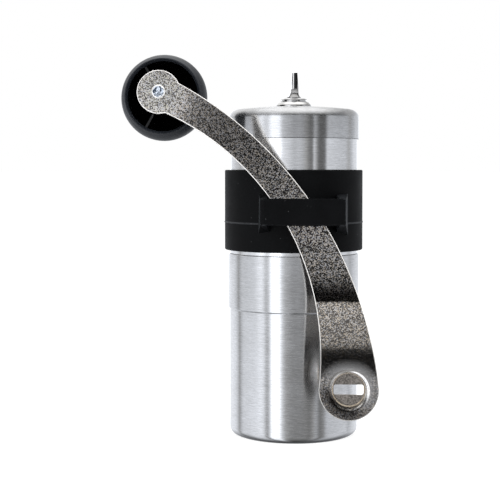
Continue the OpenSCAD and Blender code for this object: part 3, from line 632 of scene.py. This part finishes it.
def studio_light(tree):
    """What metal sees: two rings of cards over a dim floor, a dark gap, a ceiling and a back sky."""
    toward = add(tree, "ShaderNodeTexCoord").outputs["Generated"]
    x, y, z = add(tree, "ShaderNodeSeparateXYZ", {0: toward}).outputs
    turn = maths(tree, "ARCTAN2", x, maths(tree, "MULTIPLY", y, -1.0))
    low_ring, high_ring = (card_ring(tree, turn, cards) for cards in (LOW_CARDS, HIGH_CARDS))
    ring = blended(tree, spread(tree, z, -0.09, -0.02), low_ring, high_ring)
    up_to_gap = spread(tree, z, 0.12, 0.34, BRIGHTEST, 0.02 * BRIGHTEST)
    floor_ahead = spread(tree, z, -0.97, -0.85, 0.45, 1.0)
    floor_behind = spread(tree, z, -0.60, -0.25, 0.60, 1.0)
    is_behind = spread(tree, y, -0.10, 0.20)
    floor = add(tree, "ShaderNodeMix", {0: is_behind, 2: floor_ahead, 3: floor_behind}).outputs[0]
    sides = tinted(tree, ring, maths(tree, "MULTIPLY", up_to_gap, floor))
    ceiling = maths(tree, "ADD", spread(tree, z, 0.58, 0.67, 0.0, 1.1),
                    spread(tree, z, 0.72, 0.92, 0.0, 0.9))
    back_sky = maths(tree, "MULTIPLY", spread(tree, x, 0.05, 0.45, 1.0, 0.45),
                     spread(tree, z, 0.1, 0.4, 0.0, 1.3))
    back_sky = maths(tree, "MULTIPLY", back_sky, spread(tree, y, 0.05, 0.4))
    return vector_maths(tree, "ADD", sides, maths(tree, "MAXIMUM", ceiling, back_sky))


def background(tree, colour):
    """A background shader of that colour at strength 1."""
    return add(tree, "ShaderNodeBackground", {"Color": colour, "Strength": 1.0}).outputs[0]


def mixed(tree, share, first, second):
    """Shader first where share is 0 and second where it is 1."""
    return add(tree, "ShaderNodeMixShader", {0: share, 1: first, 2: second}).outputs[0]


def studio_world():
    """White to the camera, the studio's light to glossy rays, and an even grey to the others."""
    world = bpy.data.worlds.new("studio")
    world.use_nodes = True
    bpy.context.scene.world = world
    tree = world.node_tree
    tree.nodes.clear()
    rays = add(tree, "ShaderNodeLightPath").outputs
    unseen = mixed(tree, rays["Is Glossy Ray"], background(tree, grey(0.62)),
                   background(tree, studio_light(tree)))
    seen = maths(tree, "MAXIMUM", rays["Is Camera Ray"], rays["Is Transmission Ray"])
    whole = mixed(tree, seen, unseen, background(tree, grey(1.0)))
    add(tree, "ShaderNodeOutputWorld", {"Surface": whole})


def pale_floor():
    """A white sheet under the grinder that keeps its soft shadow."""
    made, tree, shader = new_material("pale_floor")
    tree.nodes.remove(shader)
    rays = add(tree, "ShaderNodeLightPath").outputs
    sheet = add(tree, "ShaderNodeBsdfDiffuse", {"Color": grey(0.42)}).outputs[0]
    glow = add(tree, "ShaderNodeEmission", {"Color": grey(0.80), "Strength": 1.0}).outputs[0]
    white = add(tree, "ShaderNodeAddShader", {0: sheet, 1: glow}).outputs[0]
    dim = add(tree, "ShaderNodeBsdfDiffuse", {"Color": grey(0.8)}).outputs[0]
    seen = maths(tree, "MAXIMUM", rays["Is Camera Ray"],
                 maths(tree, "MAXIMUM", rays["Is Glossy Ray"], rays["Is Transmission Ray"]))
    whole = mixed(tree, seen, dim, white)
    tree.links.new(whole, tree.nodes["Material Output"].inputs["Surface"])
    reach = 60.0
    mesh = bpy.data.meshes.new("floor")
    corners = [(x * reach, y * reach, cad_low.z) for x, y in ((-1, -1), (1, -1), (1, 1), (-1, 1))]
    mesh.from_pydata(corners, [], [(0, 1, 2, 3)])
    mesh.materials.append(made)
    floor = bpy.data.objects.new("floor", mesh)
    floor.visible_glossy = False
    bpy.context.scene.collection.objects.link(floor)


def soft_lamp(name, place, size, watts):
    """A square lamp aimed at the grinder's middle. Metal doesn't see it."""
    data = bpy.data.lights.new(name, "AREA")
    data.shape = "SQUARE"
    data.size = size
    data.energy = watts
    lamp = bpy.data.objects.new(name, data)
    lamp.location = place
    aim = Vector((0, 0, 0.07)) - lamp.location
    lamp.rotation_euler = aim.to_track_quat("-Z", "Y").to_euler()
    lamp.visible_glossy = False
    bpy.context.scene.collection.objects.link(lamp)


# ---------- the grinder ----------

add_camera()

cap_top = max(vertex.co.z for vertex in frame["nodes"]["cap_shell"].data.vertices)
mouth_at, pocket_depth, pocket_r = drawn_pocket()

cup_steel = brushed_steel("cup_steel", 0.50, 0.68, 0.17, foot=cad_low.z + 2.6 * MM)
tube_steel = brushed_steel("tube_steel", 0.68, 0.88, 0.16)
cap_steel = brushed_steel("cap_steel", 0.47, 0.69, 0.20, extra_pit=0.008, satin=cap_top - 4.2 * MM)
# Dark steel on the cap's eased edges: painted shade, chiefly the dark line under the cap's skirt where
# it meets the tube.
painted_seam_shade = turned_steel("painted_seam_shade", 0.08, 0.3)
bar_steel = turned_steel("turned_steel")
# The shaft's flat: a painted dark reflection with a painted highlight streak.
flat_steel = pressed_steel("flat_steel")
spring_steel = turned_steel("spring_steel", 0.45, 0.2)
front_nickel = speckled_nickel("speckled_nickel", mouth_at)
# The back is a lighter copy of the same nickel above the band: painted light for the bright light on the
# arm's back.
lit_back_nickel = speckled_nickel("speckled_nickel_back", mouth_at, 2.4, 0.5)
# Near-white, mostly diffuse plating for the arm's rim: real smooth plating with a painted highlight
# along the sheared edges, darker towards the drive end.
edge_highlight_nickel = plated_edge("plated_edge", 0.9, 0.3, 0.3, (1.02, 1, 0.97), foot=0.5)
wall_nickel = plated_edge("pocket_wall", 0.75, 0.8, 0.2, (1.15, 1, 0.8))
floor_nickel = plated_edge("pocket_floor", 0.36, 0.8, 0.3, (1.1, 1, 0.9), wear=0.35, scale=1900)
rivet_steel = plated_edge("rivet_steel", 1.0, 0.5, 0.3)
rivet_core = swirled_core("rivet_core")
band_rubber = rubber("rubber")
# A lighter rubber for the band's eased edges and parting ridge: painted highlights.
edge_highlight_rubber = rubber("edge_highlight_rubber", 0.012, 0.3)
knob_satin = moulded_plastic("knob_satin", 0.010, 0.42, tint=(0.82, 1, 1.34))
knob_gloss = moulded_plastic("knob_gloss", 0.0015, 0.16, 0.002)
frame_black = moulded_plastic("frame_plastic", 0.02, 0.45)
white_ceramic = ceramic("ceramic")
bush_bronze = bronze("bronze")

dressed("catch_cup", "cup", [cup_steel], 0.15 * MM)
dressed("body_tube", "tube", [tube_steel], 0.1 * MM)
dressed("cap_shell", "cap", [cap_steel, painted_seam_shade], 0.12 * MM)
dressed("cap_bushing", "bushing", [bar_steel], 0.1 * MM)
drive_shaft(bar_steel, flat_steel, flat_h=5 * MM)
grip_band(band_rubber, edge_highlight_rubber, ridge_up=10.2 * MM)
crank_arm(front_nickel, lit_back_nickel, edge_highlight_nickel, wall_nickel, floor_nickel,
          mouth_at, pocket_depth, pocket_r)
rivet(rivet_steel, rivet_core, core_r=1.7 * MM)
dressed("knob_washer", "washer", [spring_steel], 0.06 * MM)
knob(knob_satin, knob_gloss, mouth_r=12.65 * MM, lip=1.45 * MM)

NODE_FINISHES = {
    "upper_frame": frame_black, "burr_housing": frame_black, "burr_carrier": frame_black,
    "upper_bush": bush_bronze, "lower_bush": bush_bronze,
    "upper_thrust_washer": spring_steel, "lower_thrust_washer": spring_steel,
    "burr_spring": spring_steel, "burr_clamp_ring": spring_steel, "clamp_screws": spring_steel,
    "click_plate": spring_steel, "adjuster_nut": bar_steel,
    "outer_burr": white_ceramic, "inner_burr": white_ceramic,
}
for node, finish in NODE_FINISHES.items():
    mesh = frame["nodes"][node].data
    mesh.materials.clear()
    mesh.materials.append(finish)

studio_world()
pale_floor()
soft_lamp("key", (-0.5, -0.6, 0.6), 0.5, 6)
soft_lamp("fill", (0.6, -0.4, 0.4), 0.5, 3)
soft_lamp("top", (0.0, 0.2, 0.9), 0.6, 4)

bpy.context.scene.view_settings.view_transform = "Standard"
